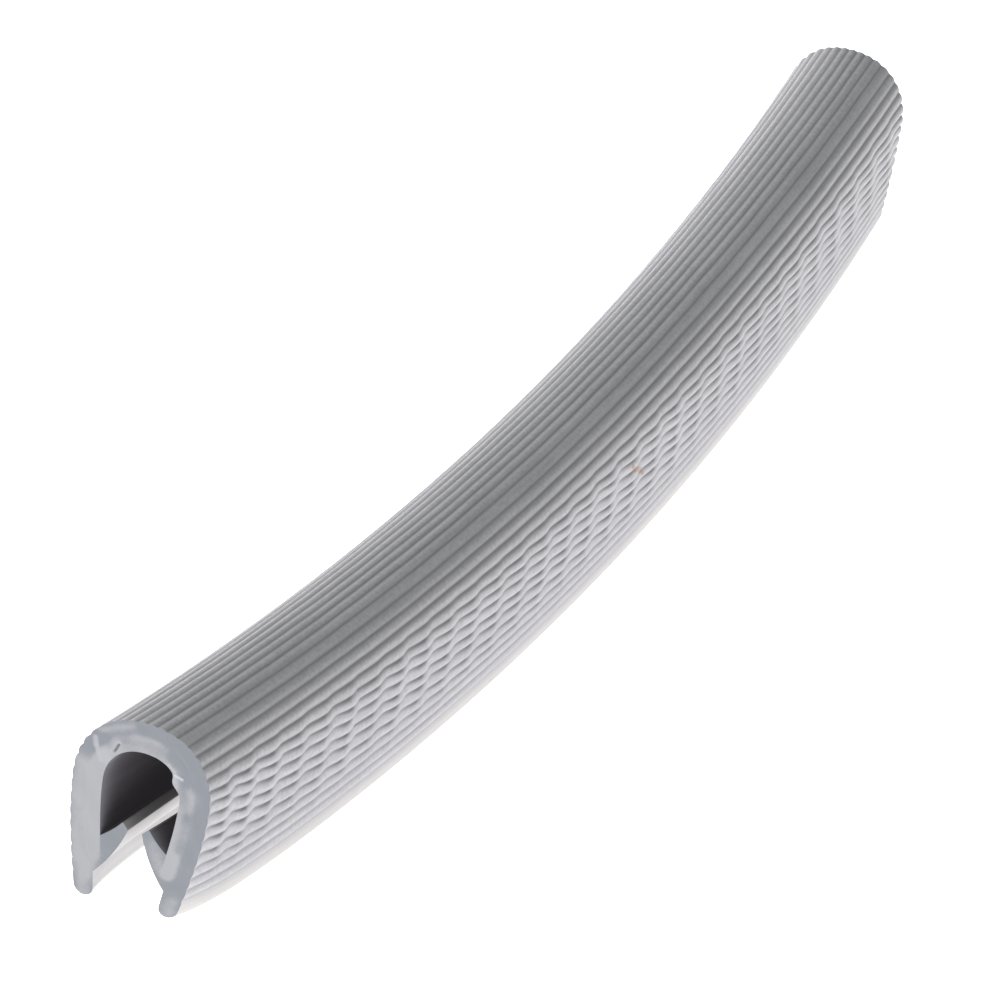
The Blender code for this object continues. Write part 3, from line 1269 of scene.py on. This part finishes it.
@dataclass(frozen=True)
class RibbedPlastic:
    """The sheath's grey outside: satin PVC with drawn-out streaks, and painted shade in its grooves.

    Attributes:
        name: name of the material.
        light: colour of the lighter streaks.
        dark: colour of the darker streaks.
        painted_groove_shade: colour of the painted shade in the grooves.
        foot: colour of the smooth strip below the ribs.
        foot_from: where along the outer surface that strip starts and is full, in mm.
        fleck: a small brown fibre mark on the right flank, along and around in mm.
        fleck_colour: its colour.
        mix: shares of the streaks, the clouds and the mottle in the shade.
        contrast: the shades that are fully dark and fully light.
        groove_shading: how fully the painted shade fills a groove, from 0 to 1.
        patchy: how much the mottle breaks it up.
        roughness: mean roughness.
        uneven: how much the clouds change it.
        groove_rough: how much rougher a groove is.
        specular: level of the mirror-like reflection.
        deep: depth of the fine relief, in metres.
    """

    name: str = "ribbed grey plastic"
    light: Colour = (0.54, 0.535, 0.556, 1.0)
    dark: Colour = (0.385, 0.383, 0.401, 1.0)
    painted_groove_shade: Colour = (0.15, 0.15, 0.16, 1.0)
    foot: Colour = (0.57, 0.555, 0.54, 1.0)
    foot_from: Pair = (15.3, 16.0)
    fleck: Stroke = Stroke((64.6, 7.9), (67.3, 10.1), 0.18, 0.6)
    fleck_colour: Colour = (0.33, 0.17, 0.08, 1.0)
    mix: tuple[float, float, float] = (0.35, 0.15, 0.5)
    contrast: Pair = (0.3, 0.7)
    groove_shading: float = 0.8
    patchy: float = 0.3
    roughness: float = 0.48
    uneven: float = 0.16
    groove_rough: float = 0.1
    specular: float = 0.4
    deep: float = 0.00002

    def material(self) -> bpy.types.Material:
        """Builds the material."""
        g = Surfacing(self.name)
        drawn, cloudy, mottled = self.mix
        streaks = g.streaks(along=60.0, around=2200.0)
        clouds = g.grain(160.0, detail=3.0, roughness=0.55)
        groove = g.attribute("groove")
        mottle = g.grain(3200.0, roughness=0.6)
        shade = streaks * drawn + clouds * cloudy + mottle * mottled
        colour = g.blend(shade.ramp(*self.contrast), self.dark, self.light)
        # painted shade: the grooves darken towards painted_groove_shade, broken up by the mottle
        groove_shade = (groove + (mottle - 0.5) * self.patchy) * self.groove_shading
        colour = g.blend(groove_shade.ramp(0.0, 1.0), colour, self.painted_groove_shade)
        place = g.millimetres()
        around = g.maths("ABSOLUTE", g.component(place, 1), 0.0)
        colour = g.blend(around.ramp(*self.foot_from), colour, self.foot)
        colour = g.stroke(place, self.fleck, colour, self.fleck_colour)
        fine = g.grain(9000.0, roughness=0.6)
        relief = fine * 0.5 + g.streaks(along=300.0, around=9000.0, detail=2.0, roughness=0.5) * 0.5
        rough = self.roughness + (clouds - 0.5) * self.uneven + groove * self.groove_rough
        sockets = {"Base Color": colour, "Roughness": rough, "Specular IOR Level": self.specular}
        return g.finish(sockets, relief, self.deep)


@dataclass(frozen=True)
class LipPlastic:
    """The smooth plastic of the lips and the legs' inner sides.

    Attributes:
        name: name of the material.
        light: colour of the lighter streaks.
        dark: colour of the darker streaks.
        contrast: the shades that are fully dark and fully light.
        roughness: mean roughness.
        uneven: how much the clouds change it.
        deep: depth of the fine relief, in metres.
    """

    name: str = "smooth lip plastic"
    light: Colour = (0.455, 0.45, 0.44, 1.0)
    dark: Colour = (0.385, 0.38, 0.375, 1.0)
    contrast: Pair = (0.3, 0.7)
    roughness: float = 0.42
    uneven: float = 0.12
    deep: float = 0.00001

    def material(self) -> bpy.types.Material:
        """Builds the material."""
        g = Surfacing(self.name)
        streaks = g.streaks(along=40.0, around=3000.0)
        colour = g.blend(streaks.ramp(*self.contrast), self.dark, self.light)
        rough = self.roughness + (g.grain(400.0) - 0.5) * self.uneven
        return g.finish({"Base Color": colour, "Roughness": rough}, streaks, self.deep)


@dataclass(frozen=True)
class ChannelPlastic:
    """The band's surface inside the channel, painted darker than where it was cut as the channel's shade, and
    painted lighter at the near cut.

    Attributes:
        name: name of the material.
        light: colour of the lighter streaks, painted dark for the channel's shade.
        dark: colour of the darker streaks, painted dark for the channel's shade.
        contrast: the shades that are fully dark and fully light.
        mouth_light: painted light: the lighter colour at the near cut.
        mouth_light_length: how far in that painted light fades, in mm.
        mouth_light_fade: where the painted light's fade starts and ends, as parts of that length, and its
            power.
        seep: the faint light that comes through the pale plastic around the channel.
        roughness: mean roughness.
        uneven: how much the clouds change it.
        deep: depth of the fine relief, in metres.
    """

    name: str = "channel lining in painted shade"
    light: Colour = (0.105, 0.099, 0.11, 1.0)
    dark: Colour = (0.075, 0.071, 0.08, 1.0)
    contrast: Pair = (0.2, 0.8)
    mouth_light: Colour = (0.33, 0.33, 0.355, 1.0)
    mouth_light_length: float = 2.8
    mouth_light_fade: tuple[float, float, float] = (-0.6, 1.0, 1.5)
    seep: Colour = (0.0125, 0.0115, 0.013, 1.0)
    roughness: float = 0.6
    uneven: float = 0.15
    deep: float = 0.00001

    def material(self) -> bpy.types.Material:
        """Builds the material."""
        g = Surfacing(self.name)
        streaks = g.streaks(along=60.0, around=1600.0)
        colour = g.blend(streaks.ramp(*self.contrast), self.dark, self.light)
        # painted light: the lining lightens towards the near cut, as if lit through the opening
        start, end, power = self.mouth_light_fade
        inward = g.component(g.millimetres(), 0) / self.mouth_light_length
        colour = g.blend((1.0 - inward.ramp(start, end)) ** power, colour, self.mouth_light)
        rough = self.roughness + (g.grain(500.0) - 0.5) * self.uneven
        glow = {"Emission Color": self.seep, "Emission Strength": 1.0}
        return g.finish({"Base Color": colour, "Roughness": rough} | glow, streaks, self.deep)


@dataclass(frozen=True)
class CutPlastic:
    """A face that a blade left: bluish grey skin and a milky band, with soft clouds and fine scratches.

    Attributes:
        name: name of the material.
        strokes: marks on the face, each with its colour.
        skin: colour of the sheath's cut.
        band: colour of the band's cut.
        cloudy: how much the clouds change the milkiness.
        scratched: how much the scratches do.
        roughness: mean roughness.
        uneven: how much the scratches change it.
        deep: depth of the fine relief, in metres.
    """

    name: str
    strokes: tuple[tuple[Stroke, Colour], ...] = ()
    skin: Colour = (0.204, 0.221, 0.246, 1.0)
    band: Colour = (0.345, 0.352, 0.366, 1.0)
    cloudy: float = 0.9
    scratched: float = 0.3
    roughness: float = 0.4
    uneven: float = 0.2
    deep: float = 0.00003

    def material(self) -> bpy.types.Material:
        """Builds the material."""
        g = Surfacing(self.name)
        clouds = g.grain(900.0, detail=3.0, roughness=0.55)
        scratches = g.grain(5200.0, detail=3.0, roughness=0.65)
        milk = g.attribute("milk") + (clouds - 0.5) * self.cloudy + (scratches - 0.5) * self.scratched
        colour = g.blend(milk.ramp(0.0, 1.0), self.skin, self.band)
        place = g.millimetres()
        for stroke, paint in self.strokes:
            colour = g.stroke(place, stroke, colour, paint)
        rough = self.roughness + (scratches - 0.5) * self.uneven
        relief = scratches * 0.5 + clouds * 0.5
        return g.finish({"Base Color": colour, "Roughness": rough}, relief, self.deep)


TORN = (0.60, 0.62, 0.65, 1.0)
SMEARED = (0.40, 0.412, 0.44, 1.0)
# painted shade inside the slit on the near cut
SLIT_SHADE = (0.10, 0.10, 0.105, 1.0)

NEAR_STROKES = (
    (Stroke((-3.54, 12.20), (-3.40, 11.65), 0.17, 0.8), SMEARED),
    (Stroke((-3.40, 11.65), (-2.95, 10.60), 0.15, 0.7), SMEARED),
    (Stroke((-2.75, 11.20), (-2.60, 10.85), 0.40, 0.6), SMEARED),
    (Stroke((-2.22, 11.55), (-1.92, 12.30), 0.17, 0.45), SMEARED),
    (Stroke((-2.10, 11.66), (-1.92, 12.16), 0.085, 0.8), SLIT_SHADE),
    (Stroke((1.55, 11.88), (2.05, 11.42), 0.10, 0.25), TORN),
    (Stroke((2.14, 11.24), (2.62, 11.08), 0.10, 0.6), TORN),
    (Stroke((2.05, 10.95), (2.25, 10.30), 0.18, 0.6), SMEARED),
)


@dataclass(frozen=True)
class Studio:
    """The pale floor, the soft light and the camera.

    Attributes:
        camera_at: the camera's place, in metres.
        camera_turn: its turn about X, Y and Z, in degrees.
        lens: focal length, in millimetres.
        sensor: width of the sensor, in millimetres.
        clip: least distance that the camera sees, in metres.
        floor_size: half the floor's width, in metres.
        floor_paint: the floor's colour.
        floor_rough: its roughness.
        floor_light: colour of its own light.
        floor_glow: strength of that light.
        walls: the surround's light near the horizon.
        ceiling: its light overhead.
        dim_axis: direction of the dimmest part.
        dim_from: where the light starts to dim and is dimmest, as cosines from that direction.
        lamp_at: the lamp's place, in metres.
        lamp_size: its side, in metres.
        lamp_power: its power, in watts.
        lamp_colour: its colour.
    """

    camera_at: tuple[float, float, float] = (0.1860191, -0.5280113, 0.3316162)
    camera_turn: tuple[float, float, float] = (59.353986, -8.779518, 24.767441)
    lens: float = 324.0
    sensor: float = 36.0
    clip: float = 0.01
    floor_size: float = 4.0
    floor_paint: Colour = (0.6, 0.6, 0.6, 1.0)
    floor_rough: float = 0.9
    floor_light: Colour = (1.0, 0.985, 1.01, 1.0)
    floor_glow: float = 1.52
    walls: Colour = (0.82, 0.80, 0.88, 1.0)
    ceiling: Colour = (0.315, 0.328, 0.314, 1.0)
    dim_axis: tuple[float, float, float] = (0.25, 0.1, 1.0)
    dim_from: Pair = (-0.16, 0.5)
    lamp_at: tuple[float, float, float] = (-0.95, -0.35, 0.7)
    lamp_size: float = 0.8
    lamp_power: float = 9.0
    lamp_colour: tuple[float, float, float] = (1.0, 1.0, 0.99)

    def floor(self) -> None:
        """A flat, pale floor that glows as a light table does, so that it comes out white all over."""
        d = self.floor_size
        mesh = bpy.data.meshes.new("floor")
        mesh.from_pydata([(-d, -d, 0.0), (d, -d, 0.0), (d, d, 0.0), (-d, d, 0.0)], [], [(0, 1, 2, 3)])
        plane = linked("floor", mesh)
        sockets = {"Base Color": self.floor_paint, "Roughness": self.floor_rough}
        glow = {"Emission Color": self.floor_light, "Emission Strength": self.floor_glow}
        mesh.materials.append(Surfacing("pale floor").finish(sockets | glow))

    def light(self) -> None:
        """A soft square light on the left that faces the trim."""
        lamp = bpy.data.lights.new("soft light from the left", "AREA")
        lamp.shape = "SQUARE"
        lamp.size = self.lamp_size
        lamp.energy = self.lamp_power
        lamp.color = self.lamp_colour
        holder = linked(lamp.name, lamp)
        holder.location = self.lamp_at
        holder.rotation_mode = "QUATERNION"
        holder.rotation_quaternion = (-Vector(self.lamp_at)).to_track_quat("-Z", "Y")

    def world(self) -> None:
        """A pale surround that dims overhead."""
        world = bpy.data.worlds.new("surround")
        world.use_nodes = True
        g = Graph(world.node_tree)
        direction = g.out("ShaderNodeTexCoord", {}, {}, "Generated")
        axis = Vector(self.dim_axis).normalized()
        overhead = g.vector("DOT_PRODUCT", {0: direction, 1: axis}, "Value").ramp(*self.dim_from)
        back = world.node_tree.nodes["Background"]
        g.connect(back.inputs["Color"], g.blend(overhead, self.walls, self.ceiling))
        back.inputs["Strength"].default_value = 1.0
        bpy.context.scene.world = world
        bpy.context.scene.view_settings.view_transform = "Standard"

    def camera(self) -> None:
        """The camera at the photograph's angle."""
        data = bpy.data.cameras.new("camera")
        data.sensor_width = self.sensor
        data.lens = self.lens
        data.clip_start = self.clip
        camera = linked("camera", data)
        camera.location = self.camera_at
        camera.rotation_euler = [math.radians(angle) for angle in self.camera_turn]
        bpy.context.scene.camera = camera

    def make(self) -> None:
        """Builds the whole studio."""
        self.floor()
        self.world()
        self.light()
        self.camera()


def dress(piece: bpy.types.Object, materials: list[bpy.types.Material]) -> None:
    """Gives a piece its materials, one for each surface, in the surfaces' order."""
    for material in materials:
        piece.data.materials.append(material)


def corners(box: tuple[Vector, Vector]) -> list[list[float]]:
    """A box's two corners as plain lists."""
    return [list(box[0]), list(box[1])]


def main() -> None:
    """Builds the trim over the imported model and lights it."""
    logging.basicConfig(level=logging.INFO, format="%(name)s: %(message)s")
    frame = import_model()
    LOG.info("the packed model has the nodes %s", ", ".join(sorted(frame["nodes"])))
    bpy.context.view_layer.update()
    studio = Studio()
    studio.make()
    section = Section()
    shared = {"bend": Bend(), "pinch": Pinch(), "cut": CutFace(), "joint": section.joint()}
    # painted shade: this dark lining stands for the shade in the channel and on the lips' upper sides
    lining = ChannelPlastic().material()
    cuts = [CutPlastic("near cut", NEAR_STROKES).material(), CutPlastic("far cut").material()]
    sheath = RibbedSheath(name="ribbed_sheath", section=section, **shared).make()
    dress(sheath, [RibbedPlastic().material(), LipPlastic().material(), lining, *cuts])
    band = CarrierBand(name="lining_band", section=section, **shared).make()
    dress(band, [lining, lining, lining, *cuts])
    for piece, node, slot in ((sheath, "pvc_sheath", "sheath"), (band, "carrier_band", "band")):
        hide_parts(node)
        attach(piece, "root")
        LOG.info("%s stands for %s", piece.name, node)


if __name__ == "__main__":
    main()
